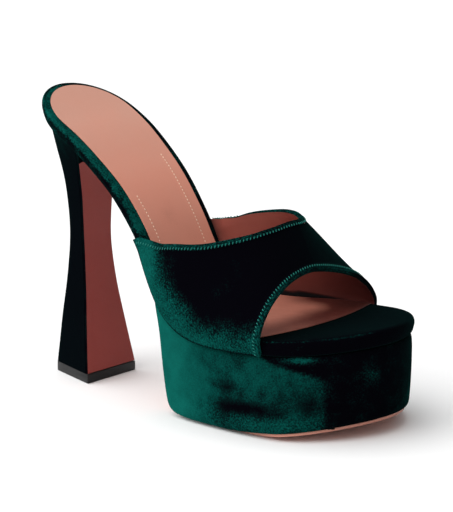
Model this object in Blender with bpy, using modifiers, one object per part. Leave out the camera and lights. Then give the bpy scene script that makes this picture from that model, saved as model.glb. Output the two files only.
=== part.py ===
"""Right-foot platform mule: a velvet vamp over a velvet covered footbed, platform and flared heel.

Lengths are millimetres in the tables below and metres in the finished objects.
The toe points along -Y, the outer side of the foot lies along -X and the shoe stands on Z = 0.
Each 'along' value is measured from the back of the heel seat towards the toe.
"""
import math
from collections import namedtuple

import bmesh
import bpy
from mathutils import Vector

# Overall sizes
MM = 0.001
LENGTH = 202.0
SIDE_SHIFT = 4.9
GAP = 0.3
CURVE_GAP = 0.4

# Ends of the footbed outline
HEEL_ROUND = 26.0
TOE_ROUND = 39.0
TOE_POWER = 2.0
HEEL_END_STEPS = 8
BODY_STEPS = 24
TOE_END_STEPS = 10

# Footbed: top height, edges and thickness by section
FootbedRow = namedtuple("FootbedRow", "along height lateral medial thickness")
FOOTBED = [
    FootbedRow(0.0, 145.0, -30.2, 30.2, 6.2),
    FootbedRow(9.0, 139.9, -29.8, 30.0, 6.2),
    FootbedRow(21.0, 133.1, -29.7, 29.5, 6.1),
    FootbedRow(36.0, 125.1, -30.7, 28.2, 5.8),
    FootbedRow(51.0, 115.0, -31.7, 25.6, 5.5),
    FootbedRow(66.0, 102.7, -32.6, 22.4, 5.4),
    FootbedRow(81.0, 84.8, -33.7, 19.6, 5.4),
    FootbedRow(93.0, 65.6, -35.2, 18.8, 5.6),
    FootbedRow(99.0, 58.2, -36.6, 21.8, 7.0),
    FootbedRow(107.0, 52.2, -38.2, 27.6, 7.6),
    FootbedRow(115.0, 49.0, -39.4, 33.8, 8.0),
    FootbedRow(125.0, 47.6, -40.3, 41.2, 8.0),
    FootbedRow(139.0, 47.3, -41.0, 47.8, 7.8),
    FootbedRow(152.0, 47.5, -41.0, 50.2, 7.6),
    FootbedRow(164.0, 48.0, -40.0, 50.0, 7.6),
    FootbedRow(181.0, 49.5, -37.0, 49.4, 7.8),
    FootbedRow(202.0, 52.0, -31.5, 48.0, 8.0),
]

# Rounded edge of the footbed, from its top face down to its underside
EdgeRow = namedtuple("EdgeRow", "drop inset")
FOOTBED_EDGE = [
    EdgeRow(0.00, 2.4),
    EdgeRow(0.06, 1.1),
    EdgeRow(0.20, 0.3),
    EdgeRow(0.42, 0.0),
    EdgeRow(0.70, 0.5),
    EdgeRow(0.90, 1.1),
    EdgeRow(1.00, 2.2),
]

# Platform wall, from the seam under the footbed down to the outsole
WallRow = namedtuple("WallRow", "drop inset toe_inset back_along")
PLATFORM_WALL = [
    WallRow(0.00, 2.4, 2.2, 87.8),
    WallRow(0.03, 1.4, 1.3, 88.1),
    WallRow(0.13, 1.0, 1.0, 89.0),
    WallRow(0.29, 0.9, 1.0, 90.4),
    WallRow(0.51, 0.8, 1.2, 92.0),
    WallRow(0.75, 0.9, 1.5, 94.0),
    WallRow(0.90, 1.1, 1.9, 95.6),
    WallRow(0.965, 1.4, 2.4, 97.0),
    WallRow(1.00, 2.2, 3.4, 99.0),
]
PLATFORM_CORNER = 6.0
PLATFORM_BLEND_END = 141.0
CORNER_STEPS = 4
PLATFORM_BODY_STEPS = 12

# Outsole: flat tread under the ball, rising at the toe and behind
OUTSOLE_THICK = 1.2
OUTSOLE_INSET = 0.8
OUTSOLE_BACK_INSET = 5.5
OUTSOLE_BLEND_START = 126.0
OUTSOLE_BLEND_END = 172.0
OUTSOLE_WAIST_INSET = 5.0
OUTSOLE_START = 34.3
OUTSOLE_WAIST_END = 85.2
OUTSOLE_WAIST_STEPS = 12
TREAD_BACK = 118.0
TREAD_FRONT = 138.0
TOE_SPRING = 8.0
TOE_SPRING_POWER = 1.6
BACK_RISE = 1.6
BACK_RISE_POWER = 2.0
SHEET_COLUMNS = 6

# Insole sock on the footbed
SOCK_THICK = 0.7
SOCK_GAP = 0.3
SockRow = namedtuple("SockRow", "along lateral medial")
SOCK_INSET = [
    SockRow(0.0, 4.3, 4.3),
    SockRow(16.0, 4.2, 4.6),
    SockRow(40.0, 4.8, 5.0),
    SockRow(65.0, 5.5, 5.0),
    SockRow(95.0, 5.6, 4.8),
    SockRow(130.0, 4.0, 3.8),
    SockRow(160.0, 3.0, 3.0),
]
SOCK_END = 158.0
SOCK_BOW = 6.6
SOCK_BOW_START = 125.0

# Heel sections, from the toplift up to the seat
HeelRow = namedtuple("HeelRow", "front_height back_height front_half front_along back_half back_along centre seat")
HEEL = [
    HeelRow(4.9, 4.9, 17.6, 31.1, 7.2, 2.0, 0.0, 0.0),
    HeelRow(15.0, 15.0, 16.1, 29.5, 6.9, 3.2, 0.0, 0.0),
    HeelRow(30.0, 30.0, 13.8, 27.3, 6.6, 5.2, 0.0, 0.0),
    HeelRow(45.0, 46.0, 11.6, 25.2, 6.3, 7.8, 0.0, 0.0),
    HeelRow(60.0, 61.5, 10.3, 23.5, 6.2, 9.7, 0.0, 0.0),
    HeelRow(70.0, 72.5, 10.0, 22.8, 6.3, 10.4, 0.0, 0.0),
    HeelRow(80.0, 84.0, 10.4, 22.7, 6.8, 10.1, 0.0, 0.0),
    HeelRow(90.0, 97.0, 11.1, 22.9, 7.8, 8.9, 0.0, 0.02),
    HeelRow(98.0, 107.0, 12.2, 23.2, 9.5, 7.5, -0.1, 0.1),
    HeelRow(104.0, 115.0, 14.0, 24.1, 12.0, 5.8, -0.2, 0.3),
    HeelRow(109.0, 122.2, 17.0, 26.1, 15.0, 4.1, -0.3, 0.55),
    HeelRow(113.0, 128.8, 21.0, 28.9, 18.0, 2.6, -0.3, 0.82),
    HeelRow(117.0, 134.3, 26.5, 32.5, 20.0, 1.6, -0.3, 1.0),
]
HEEL_RINGS_PER_ROW = 2
HEEL_CORNER = 3.0
SEAT_POWER = 2.6
SEAT_ANGLES = [0.0, 14.0, 28.0, 42.0, 52.0, 60.0, 68.0, 78.0, 90.0]

# Leather panel on the heel breast, and the toplift under the heel
BREAST_THICK = 1.2
BREAST_INSET = 0.2
BREAST_COLUMNS = 4
TOPLIFT_HEIGHT = 4.6
TOPLIFT_PROUD = 0.2
TOPLIFT_BEVEL = 0.4

# Vamp: ridge of the arch by section
RidgeRow = namedtuple("RidgeRow", "along height shift")
RIDGE = [
    RidgeRow(79.0, 146.0, 3.0),
    RidgeRow(101.0, 130.0, 3.0),
    RidgeRow(121.0, 113.0, 3.0),
    RidgeRow(143.0, 94.5, 2.0),
    RidgeRow(163.0, 74.5, -8.0),
    RidgeRow(175.0, 62.0, -10.0),
]

# Vamp: front and back edges by angle round the arch, from the outer base to the inner base
VampEdgeRow = namedtuple("VampEdgeRow", "angle toe collar")
VAMP_EDGE = [
    VampEdgeRow(0.0, 161.0, 77.0),
    VampEdgeRow(12.0, 161.4, 84.9),
    VampEdgeRow(26.0, 162.2, 100.6),
    VampEdgeRow(39.0, 162.7, 121.0),
    VampEdgeRow(54.0, 163.0, 135.1),
    VampEdgeRow(69.0, 162.8, 141.4),
    VampEdgeRow(83.0, 162.8, 143.3),
    VampEdgeRow(98.0, 163.0, 143.2),
    VampEdgeRow(112.0, 162.6, 139.6),
    VampEdgeRow(124.0, 161.8, 130.6),
    VampEdgeRow(136.0, 160.4, 118.0),
    VampEdgeRow(150.0, 158.0, 101.0),
    VampEdgeRow(160.0, 156.8, 91.0),
    VampEdgeRow(168.0, 156.0, 84.6),
    VampEdgeRow(180.0, 155.4, 77.0),
]
VAMP_OUTER_POWER = 1.9
VAMP_INNER_POWER = 1.36
VAMP_SPREAD = 1.0
VAMP_STEPS = 40
VAMP_ROWS = 9
VAMP_WALL = 1.7
VAMP_WAIST_WALL = 0.9
VAMP_HEM_RISE = 0.5
VAMP_HEM_WIDTH = 3.3
VAMP_HEM_STEP = 0.35
VAMP_HEM_START = 80.0
VAMP_HEM_FULL = 104.0
VAMP_WAIST_CLEAR = 1.4
VAMP_WAIST_TUCK = 1.1
VAMP_TUCK_SHARE = 0.6
VAMP_BASE_CLEAR = 1.3
VAMP_BULGE = 2.1
VAMP_BULGE_HEIGHT = 8.0
VAMP_BULGE_START = 83.0
VAMP_BULGE_END = 114.0

# Finishes: base colour, roughness
FinishRow = namedtuple("FinishRow", "colour roughness")
FINISHES = {
    "velvet": FinishRow((0.004, 0.062, 0.05), 0.75),
    "leather": FinishRow((0.55, 0.26, 0.20), 0.5),
    "dark_leather": FinishRow((0.22, 0.045, 0.035), 0.5),
    "rubber": FinishRow((0.012, 0.012, 0.013), 0.35),
}


def smooth(rows, column, place):
    """Read one column of a table at a place along its first column, with a smooth curve between rows."""
    xs = [row[0] for row in rows]
    ys = [getattr(row, column) for row in rows]
    last = len(xs) - 1
    place = min(max(place, xs[0]), xs[last])
    k = 0
    while k < last - 1 and place > xs[k + 1]:
        k += 1

    def lean(i):
        if i == 0:
            return (ys[1] - ys[0]) / (xs[1] - xs[0])
        if i == last:
            return (ys[last] - ys[last - 1]) / (xs[last] - xs[last - 1])
        before = (ys[i] - ys[i - 1]) / (xs[i] - xs[i - 1])
        after = (ys[i + 1] - ys[i]) / (xs[i + 1] - xs[i])
        share = (xs[i] - xs[i - 1]) / (xs[i + 1] - xs[i - 1])
        return before * (1.0 - share) + after * share

    width = xs[k + 1] - xs[k]
    t = (place - xs[k]) / width
    start = (1.0 + 2.0 * t) * (1.0 - t) ** 2 * ys[k] + t * (1.0 - t) ** 2 * width * lean(k)
    finish = t * t * (3.0 - 2.0 * t) * ys[k + 1] + t * t * (t - 1.0) * width * lean(k + 1)
    return start + finish


def ramp(value, low, high):
    """Rise smoothly from 0 at low to 1 at high."""
    t = min(max((value - low) / (high - low), 0.0), 1.0)
    return t * t * (3.0 - 2.0 * t)


def place(x, along, height):
    """Turn millimetres across, along and up into a point in metres."""
    return Vector(((x - SIDE_SHIFT) * MM, (LENGTH / 2.0 - along) * MM, height * MM))


def top_height(along):
    """Height of the footbed's top face."""
    return smooth(FOOTBED, "height", along)


def steepness(along):
    """Length of the sloping footbed for each unit of plan length."""
    rise = (top_height(along + 0.5) - top_height(along - 0.5)) / 1.0
    return math.sqrt(1.0 + rise * rise)


def under_height(along):
    """Height of the footbed's underside."""
    return top_height(along) - smooth(FOOTBED, "thickness", along) * steepness(along)


def outline(along):
    """Outer and inner edges of the footbed at a section."""
    lateral = smooth(FOOTBED, "lateral", along)
    medial = smooth(FOOTBED, "medial", along)
    middle = (lateral + medial) / 2.0
    half = (medial - lateral) / 2.0
    if along < HEEL_ROUND:
        half *= math.sqrt(max(0.0, 1.0 - (1.0 - along / HEEL_ROUND) ** 2))
    toe_start = LENGTH - TOE_ROUND
    if along > toe_start:
        share = (along - toe_start) / TOE_ROUND
        half *= max(0.0, 1.0 - share ** TOE_POWER) ** (1.0 / TOE_POWER)
    return middle - half, middle + half


def heel_stations():
    """Sections round the heel end, close together towards its back."""
    return [HEEL_ROUND * (1.0 - math.cos(math.pi / 2.0 * i / HEEL_END_STEPS)) for i in range(HEEL_END_STEPS + 1)]


def toe_stations():
    """Sections round the toe end, close together towards its tip."""
    start = LENGTH - TOE_ROUND
    return [start + TOE_ROUND * math.sin(math.pi / 2.0 * i / TOE_END_STEPS) for i in range(TOE_END_STEPS + 1)]


def body_stations(start, finish, steps):
    """Even sections between two places, without the ends."""
    return [start + (finish - start) * i / steps for i in range(1, steps)]


def footbed_stations():
    """All sections of the footbed from the heel to the toe."""
    toe = toe_stations()
    return heel_stations() + body_stations(HEEL_ROUND, toe[0], BODY_STEPS) + toe


def edge_points(stations, inset):
    """Plan points of both edges, moved inwards by inset, as two lists of (across, along)."""
    left = [(outline(s)[0], s) for s in stations]
    right = [(outline(s)[1], s) for s in stations]
    loop = left + right[::-1]
    moved = []
    count = len(loop)
    for i, (x, s) in enumerate(loop):
        before = Vector(loop[i - 1])
        after = Vector(loop[(i + 1) % count])
        if (before - Vector((x, s))).length < 1e-6:
            before = Vector(loop[i - 2])
        if (after - Vector((x, s))).length < 1e-6:
            after = Vector(loop[(i + 2) % count])
        run = (after - before).normalized()
        depth = inset(s) if callable(inset) else inset
        moved.append((x + run.y * depth, s - run.x * depth))
    half = len(stations)
    return moved[:half], moved[half:][::-1]


def finish_object(name, finish, vertices, faces):
    """Make a closed mesh object from points and faces, with its finish."""
    mesh = bpy.data.meshes.new(name)
    mesh.from_pydata([tuple(v) for v in vertices], [], faces)
    work = bmesh.new()
    work.from_mesh(mesh)
    bmesh.ops.remove_doubles(work, verts=work.verts, dist=1e-6)
    bmesh.ops.recalc_face_normals(work, faces=work.faces)
    work.to_mesh(mesh)
    work.free()
    part = bpy.data.objects.new(name, mesh)
    shoe.objects.link(part)
    mesh.materials.append(material(name, finish))
    for polygon in mesh.polygons:
        polygon.use_smooth = True
    return part


def material(name, finish):
    """Principled finish of one piece."""
    row = FINISHES[finish]
    made = bpy.data.materials.new(name + "_" + finish)
    made.use_nodes = True
    shader = made.node_tree.nodes["Principled BSDF"]
    shader.inputs["Base Color"].default_value = (*row.colour, 1.0)
    shader.inputs["Roughness"].default_value = row.roughness
    shader.inputs["Metallic"].default_value = 0.0
    return made


def stack(name, finish, levels):
    """Close a solid from levels; each level holds a left and a right list of points that face each other."""
    count = len(levels[0][0])
    vertices = []
    for left, right in levels:
        vertices += left + right
    faces = []

    def index(level, side, i):
        return level * 2 * count + side * count + i

    for k in range(len(levels) - 1):
        for i in range(count - 1):
            faces.append([index(k, 0, i), index(k, 0, i + 1), index(k + 1, 0, i + 1), index(k + 1, 0, i)])
            faces.append([index(k, 1, i + 1), index(k, 1, i), index(k + 1, 1, i), index(k + 1, 1, i + 1)])
        for i in (0, count - 1):
            turn = [index(k, 1, i), index(k, 0, i), index(k + 1, 0, i), index(k + 1, 1, i)]
            faces.append(turn if i == 0 else turn[::-1])
    for i in range(count - 1):
        faces.append([index(0, 0, i), index(0, 1, i), index(0, 1, i + 1), index(0, 0, i + 1)])
        last = len(levels) - 1
        faces.append([index(last, 0, i), index(last, 0, i + 1), index(last, 1, i + 1), index(last, 1, i)])
    return finish_object(name, finish, vertices, faces)


def sheet(name, finish, rows, thickness, side):
    """Close a sheet of even thickness on one side of a grid of points."""
    columns = len(rows[0])
    vertices = [point for row in rows for point in row]
    faces = []
    for i in range(len(rows) - 1):
        for j in range(columns - 1):
            a = i * columns + j
            faces.append([a, a + 1, a + columns + 1, a + columns])
    part = finish_object(name, finish, vertices, faces)
    middle = part.data.polygons[len(part.data.polygons) // 2]
    if middle.normal.dot(Vector(side)) < 0.0:
        part.data.flip_normals()
    solid = part.modifiers.new("thickness", "SOLIDIFY")
    solid.thickness = thickness * MM
    solid.offset = 1.0
    solid.use_even_offset = True
    return part


def across(left, right, count):
    """Points from left to right, both included."""
    return [left.lerp(right, j / count) for j in range(count + 1)]


def build_footbed():
    """Velvet covered footbed from the heel seat to the toe."""
    stations = footbed_stations()
    levels = []
    for row in FOOTBED_EDGE:
        left, right = edge_points(stations, row.inset)

        def lift(pair):
            s = pair[1]
            height = top_height(s) + (under_height(s) - top_height(s)) * row.drop
            return place(pair[0], s, height)

        levels.append(([lift(p) for p in left], [lift(p) for p in right]))
    return stack("footbed", "velvet", levels)


def tread_height(along):
    """Height of the outsole's lower face under the platform."""
    if along > TREAD_FRONT:
        return TOE_SPRING * ((along - TREAD_FRONT) / (LENGTH - TREAD_FRONT)) ** TOE_SPRING_POWER
    if along < TREAD_BACK:
        back = PLATFORM_WALL[-1].back_along
        share = min((TREAD_BACK - along) / (TREAD_BACK - back), 1.0)
        return BACK_RISE * share ** BACK_RISE_POWER
    return 0.0


def platform_bottom(along):
    """Height of the platform's lower face."""
    return tread_height(along) + OUTSOLE_THICK + CURVE_GAP


def corner_inset(number):
    """How far a station of the platform's rounded back corner stands in from its side."""
    return PLATFORM_CORNER * (1.0 - math.sin(math.pi / 2.0 * min(number / CORNER_STEPS, 1.0)))


def platform_level(row):
    """Plan points and heights of the platform at one level of its wall."""
    first = PLATFORM_WALL[0].back_along
    corner = [PLATFORM_CORNER * (1.0 - math.cos(math.pi / 2.0 * i / CORNER_STEPS)) for i in range(CORNER_STEPS + 1)]
    toe = toe_stations()
    start = first + PLATFORM_CORNER
    stations = [first + c for c in corner] + body_stations(start, toe[0], PLATFORM_BODY_STEPS) + toe
    shift = row.back_along - first
    moved = [s + shift * (1.0 - ramp(s, first, PLATFORM_BLEND_END)) for s in stations]
    sides = ([], [])
    for i, s in enumerate(moved):
        inset = row.inset + (row.toe_inset - row.inset) * ramp(s, LENGTH - TOE_ROUND, LENGTH - 6.0)
        for side, sign, (x, moved_along) in zip(sides, (1.0, -1.0), outline_inset(s, inset)):
            x += sign * corner_inset(i)
            seam = under_height(moved_along) - CURVE_GAP * steepness(moved_along)
            height = seam + (platform_bottom(moved_along) - seam) * row.drop
            side.append((x, moved_along, height))
    return sides


def outline_inset(along, inset):
    """Both outline points of one section, moved inwards square to the outline."""
    step = 0.2
    ahead = min(along + step, LENGTH)
    behind = ahead - 2.0 * step
    result = []
    for side, sign in ((0, 1.0), (1, -1.0)):
        x = outline(along)[side]
        run = Vector((outline(ahead)[side] - outline(behind)[side], 2.0 * step)).normalized()
        if along > LENGTH - 0.01:
            run = Vector((sign, 0.0))
        result.append((x + sign * run.y * inset, along - sign * run.x * inset))
    return result


def build_platform():
    """Velvet covered platform under the forefoot."""
    levels = []
    for row in PLATFORM_WALL:
        sides = platform_level(row)
        levels.append(([place(*p) for p in sides[0]], [place(*p) for p in sides[1]]))
    return stack("platform", "velvet", levels)


def build_outsole():
    """Leather outsole from the toe, up the back of the platform and along the waist to the heel breast."""
    pairs = []
    for i in range(OUTSOLE_WAIST_STEPS + 1):
        s = OUTSOLE_START + (OUTSOLE_WAIST_END - OUTSOLE_START) * i / OUTSOLE_WAIST_STEPS
        left, right = outline(s)
        height = under_height(s)
        pairs.append(((left + OUTSOLE_WAIST_INSET, s, height), (right - OUTSOLE_WAIST_INSET, s, height)))
    for row in PLATFORM_WALL[1:-1]:
        sides = platform_level(row)
        pairs.append((sides[0][0], sides[1][0]))
    lower = platform_level(PLATFORM_WALL[-1])
    for i, (left, right) in enumerate(zip(*lower)):
        behind = 1.0 - ramp(left[1], OUTSOLE_BLEND_START, OUTSOLE_BLEND_END)
        wanted = OUTSOLE_INSET + OUTSOLE_BACK_INSET * behind
        back = OUTSOLE_INSET * ramp(left[1], LENGTH - TOE_ROUND, LENGTH - 6.0)
        narrow = max(0.0, wanted - corner_inset(i)) if right[0] - left[0] > 2.0 else 0.0
        pairs.append(((left[0] + narrow, left[1] - back, left[2]), (right[0] - narrow, right[1] - back, right[2])))
    rows = []
    for i, pair in enumerate(pairs):
        ends = []
        for side in (0, 1):
            before = pairs[max(i - 1, 0)][side]
            after = pairs[min(i + 1, len(pairs) - 1)][side]
            run = Vector((after[1] - before[1], after[2] - before[2])).normalized()
            x, s, height = pair[side]
            ends.append(place(x, s + run.y * CURVE_GAP, height - run.x * CURVE_GAP))
        rows.append(across(ends[0], ends[1], SHEET_COLUMNS))
    return sheet("outsole", "leather", rows, OUTSOLE_THICK, (0.0, 0.0, -1.0))


def build_sock():
    """Leather insole sock on the footbed, ending in a bowed edge at the toe opening."""
    stations = footbed_stations()
    left = edge_points(stations, lambda s: smooth(SOCK_INSET, "lateral", s))[0]
    right = edge_points(stations, lambda s: smooth(SOCK_INSET, "medial", s))[1]
    count = len([s for s in stations if s < SOCK_END])
    rows = []
    for i in range(count):
        row = []
        for j in range(SHEET_COLUMNS + 1):
            share = j / SHEET_COLUMNS
            x = left[i][0] + (right[i][0] - left[i][0]) * share
            s = left[i][1] + (right[i][1] - left[i][1]) * share
            s += SOCK_BOW * (1.0 - (2.0 * share - 1.0) ** 2) * ramp(s, SOCK_BOW_START, stations[count - 1])
            row.append(place(x, s, top_height(s) + SOCK_GAP * steepness(s)))
        rows.append(row)
    return sheet("insole_sock", "leather", rows, SOCK_THICK, (0.0, 0.0, 1.0))


def heel_half(front_half, back_half, depth, seat):
    """Half section of the heel as (half width, distance back), from the breast edge to the middle of the back."""
    corner = Vector((back_half, depth))
    edge = Vector((front_half, 0.0))
    side = (edge - corner).normalized()
    start = corner + side * HEEL_CORNER
    finish = corner + Vector((-HEEL_CORNER, 0.0))
    straight = [edge.lerp(start, t) for t in (0.0, 0.34, 0.67)]
    bend = []
    for t in (0.0, 0.3, 0.6, 1.0):
        bend.append(start * (1.0 - t) ** 2 + corner * 2.0 * t * (1.0 - t) + finish * t * t)
    plain = straight + bend + [Vector((back_half * 0.25, depth)), Vector((0.0, depth))]
    result = []
    for point, angle in zip(plain, SEAT_ANGLES):
        turn = math.radians(angle)
        width = front_half * max(0.0, math.cos(turn)) ** (2.0 / SEAT_POWER)
        back = depth * math.sin(turn) ** (2.0 / SEAT_POWER)
        if angle == 90.0:
            width = 0.0
        result.append(point.lerp(Vector((width, back)), seat))
    return result


HeelPlace = namedtuple("HeelPlace", "step " + " ".join(HeelRow._fields))
HEEL_PLACES = [HeelPlace(float(i), *row) for i, row in enumerate(HEEL)]


def heel_row(step):
    """Heel section at any step up the table."""
    return HeelRow(*[smooth(HEEL_PLACES, column, step) for column in HeelRow._fields])


def heel_ring(row):
    """Left and right points of one heel section, tilted and following the footbed near the seat."""
    left = []
    right = []
    depth = row.front_along - row.back_along
    for half, back in heel_half(row.front_half, row.back_half, depth, row.seat):
        s = row.front_along - back
        plane = row.front_height + (row.back_height - row.front_height) * back / depth
        seat = under_height(s) - GAP * steepness(s)
        height = plane + (seat - plane) * row.seat ** 2
        left.append(place(row.centre - half, s, height))
        right.append(place(row.centre + half, s, height))
    return left, right


def heel_steps():
    """Steps up the heel table, several between each two rows."""
    count = (len(HEEL) - 1) * HEEL_RINGS_PER_ROW
    return [i / HEEL_RINGS_PER_ROW for i in range(count + 1)]


def build_heel():
    """Velvet covered heel block, waisted in the middle and flaring to the seat and the base."""
    return stack("heel_block", "velvet", [heel_ring(heel_row(step)) for step in heel_steps()])


def build_breast():
    """Leather panel on the flat front of the heel."""
    rows = []
    for step in heel_steps():
        row = heel_row(step)
        left, right = heel_ring(row)
        trim = Vector((BREAST_INSET * MM, 0.0, 0.0))
        forward = Vector((0.0, -GAP * MM, 0.0))
        lower = Vector((0.0, 0.0, -GAP * MM * 2.0 * row.seat))
        rows.append(across(left[0] + trim + forward + lower, right[0] - trim + forward + lower, BREAST_COLUMNS))
    return sheet("heel_breast", "dark_leather", rows, BREAST_THICK, (0.0, -1.0, 0.0))


def build_toplift():
    """Rubber toplift under the heel."""
    base = HEEL[0]
    front = base.front_along + GAP + BREAST_THICK + TOPLIFT_PROUD
    depth = front - base.back_along + TOPLIFT_PROUD
    half = heel_half(base.front_half + TOPLIFT_PROUD, base.back_half + TOPLIFT_PROUD, depth, 0.0)
    levels = []
    for height in (TOPLIFT_HEIGHT, 0.0):
        left = [place(base.centre - width, front - back, height) for width, back in half]
        right = [place(base.centre + width, front - back, height) for width, back in half]
        levels.append((left, right))
    part = stack("toplift", "rubber", levels)
    soft = part.modifiers.new("edges", "BEVEL")
    soft.width = TOPLIFT_BEVEL * MM
    soft.segments = 2
    soft.limit_method = "ANGLE"
    return part


def vamp_point(angle, along):
    """Outer surface of the vamp at an angle round the arch and a section along the shoe."""
    side = -1.0 if angle < 90.0 else 1.0
    power = VAMP_OUTER_POWER if angle < 90.0 else VAMP_INNER_POWER
    rise = max(0.0, math.sin(math.radians(angle))) ** VAMP_SPREAD
    left, right = outline(along)
    edge = 0 if angle < 90.0 else 1
    swerve = outline(along + 0.5)[edge] - outline(along - 0.5)[edge]
    base = under_height(along) + GAP
    skirt = top_height(along) - base
    height = smooth(RIDGE, "height", along) - base
    lifted = min(rise * height / VAMP_BULGE_HEIGHT, 1.0)
    forward = ramp(along, VAMP_BULGE_START, VAMP_BULGE_END)
    clear = VAMP_WAIST_CLEAR + (VAMP_BASE_CLEAR - VAMP_WAIST_CLEAR) * forward
    tuck = VAMP_WAIST_TUCK * (1.0 - forward) * max(0.0, 1.0 - rise * height / (VAMP_TUCK_SHARE * skirt))
    bulge = clear - tuck + VAMP_BULGE * forward * math.sin(lifted * math.pi / 2.0)
    bulge *= math.sqrt(1.0 + swerve * swerve)
    arch = max(0.0, (rise * height - skirt) / (height - skirt))
    swing = max(0.0, 1.0 - arch ** power) ** (1.0 / power)
    half = (right - left) / 2.0 + bulge
    x = (left + right) / 2.0 + side * half * swing + smooth(RIDGE, "shift", along) * arch * arch
    return place(x, along, base + rise * height)


def vamp_wall(along):
    """Thickness of the vamp's wall, less where it wraps the waist."""
    return VAMP_WAIST_WALL + (VAMP_WALL - VAMP_WAIST_WALL) * ramp(along, VAMP_BULGE_START, VAMP_BULGE_END)


def build_vamp():
    """Velvet vamp: one arched strap, hollow, with a raised hem along the collar and the toe opening."""
    grid = []
    walls = []
    rises = []
    for i in range(VAMP_STEPS + 1):
        angle = 180.0 * i / VAMP_STEPS
        toe = smooth(VAMP_EDGE, "toe", angle)
        collar = smooth(VAMP_EDGE, "collar", angle)
        run = (vamp_point(angle, toe) - vamp_point(angle, collar)).length / MM
        hem = VAMP_HEM_WIDTH / run
        step = VAMP_HEM_STEP / run
        inner = [hem + step + (1.0 - 2.0 * (hem + step)) * j / VAMP_ROWS for j in range(VAMP_ROWS + 1)]
        shares = [0.0, hem * 0.5, hem] + inner + [1.0 - hem, 1.0 - hem * 0.5, 1.0]
        places = [toe + (collar - toe) * share for share in shares]
        grid.append([vamp_point(angle, along) for along in places])
        walls += [vamp_wall(along) for along in places]
        rises += [VAMP_HEM_RISE * ramp(along, VAMP_HEM_START, VAMP_HEM_FULL) for along in places]
    last_row = len(grid) - 1
    last_column = len(grid[0]) - 1
    rows = []
    for i, line in enumerate(grid):
        row = []
        for j, point in enumerate(line):
            round_arch = grid[min(i + 1, last_row)][j] - grid[max(i - 1, 0)][j]
            along_shoe = line[min(j + 1, last_column)] - line[max(j - 1, 0)]
            out = round_arch.cross(along_shoe).normalized()
            row.append(point - out * (walls[len(rows) * len(line) + j] * MM))
        rows.append(row)
    total = VAMP_WALL + VAMP_HEM_RISE
    part = sheet("upper_vamp", "velvet", rows, total, (0.0, 0.0, 1.0))
    raised = part.vertex_groups.new(name="hem")
    columns = last_column + 1
    for number in range(len(part.data.vertices)):
        edge = number % columns
        on_hem = edge <= 2 or edge >= columns - 3
        rise = rises[number] if on_hem else 0.0
        raised.add([number], (walls[number] + rise) / total, "REPLACE")
    part.modifiers["thickness"].vertex_group = "hem"
    return part


# Build the shoe
for old in list(bpy.data.objects):
    bpy.data.objects.remove(old, do_unlink=True)
shoe = bpy.data.collections.new("platform_mule")
bpy.context.scene.collection.children.link(shoe)
build_footbed()
build_platform()
build_outsole()
build_sock()
build_heel()
build_breast()
build_toplift()
build_vamp()
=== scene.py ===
"""Looks of the right-foot platform mule in velvet, leather, thread and rubber.

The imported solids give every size. Each visible piece is a refined copy of its solid, dressed in its
finish. The toe points along -Y, the outer side of the foot along -X, and the shoe stands on Z = 0.
Sizes in the classes are millimetres and angles are degrees, unless a class says otherwise;
Blender's own coordinates are metres.
"""
import logging
import math
from dataclasses import dataclass, field
from enum import Enum
from typing import Callable, Sequence

import bmesh
import bpy
import numpy as np
from mathutils import Matrix, Vector, noise
from mathutils.bvhtree import BVHTree
from mathutils.kdtree import KDTree


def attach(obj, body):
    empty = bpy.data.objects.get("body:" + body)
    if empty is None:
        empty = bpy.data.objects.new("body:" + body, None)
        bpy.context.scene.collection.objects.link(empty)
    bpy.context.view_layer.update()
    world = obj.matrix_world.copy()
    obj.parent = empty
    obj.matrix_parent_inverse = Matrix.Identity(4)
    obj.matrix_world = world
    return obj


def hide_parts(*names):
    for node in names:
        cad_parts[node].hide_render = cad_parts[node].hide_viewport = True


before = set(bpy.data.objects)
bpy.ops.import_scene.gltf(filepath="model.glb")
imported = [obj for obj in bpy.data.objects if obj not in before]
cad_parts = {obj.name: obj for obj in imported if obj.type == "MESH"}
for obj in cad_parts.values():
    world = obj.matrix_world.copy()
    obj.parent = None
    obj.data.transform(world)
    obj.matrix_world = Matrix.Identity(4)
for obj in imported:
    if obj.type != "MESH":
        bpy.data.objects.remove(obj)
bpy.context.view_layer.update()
MM = 0.001
X, Y, Z = 0, 1, 2
LOG = logging.getLogger("platform_mule")

Triple = tuple[float, float, float]
Line = list[tuple[Vector, Vector]]
Socket = bpy.types.NodeSocket


class Body(Enum):
    """CAD body that a piece rides on."""

    SHOE = "root"


class Slot(Enum):
    """Name of a piece's material slot."""

    VELVET = "velvet"
    SOCK = "sock_leather"
    SOLE = "sole_leather"
    BREAST = "breast_leather"
    TOPLIFT = "toplift_rubber"


def ramp(value: np.ndarray, low: float | np.ndarray, high: float | np.ndarray) -> np.ndarray:
    """Rise smoothly from 0 at low to 1 at high.

    Args:
        value: Numbers to read the rise at.
        low: Where the rise starts.
        high: Where it ends; a high below low makes a fall.

    Returns:
        The rise at each number.
    """
    t = np.clip((value - low) / (high - low), 0.0, 1.0)
    return t * t * (3.0 - 2.0 * t)


def mottle(places: np.ndarray, size: float, seed: float) -> np.ndarray:
    """Soft uneven numbers from -1 to 1 over a surface.

    Args:
        places: Points in millimetres.
        size: Size of the patches in millimetres.
        seed: Moves the pattern.

    Returns:
        One number a point.
    """
    offset = Vector((seed, -seed, 2.0 * seed))
    return np.array([noise.noise(Vector(p) / size + offset) for p in places])


@dataclass(frozen=True)
class Fade:
    """A smooth change from nothing at start to the whole amount at end."""

    start: float
    end: float
    amount: float = 1.0

    def at(self, value: np.ndarray) -> np.ndarray:
        """Change at each number."""
        return self.amount * ramp(value, self.start, self.end)


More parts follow.
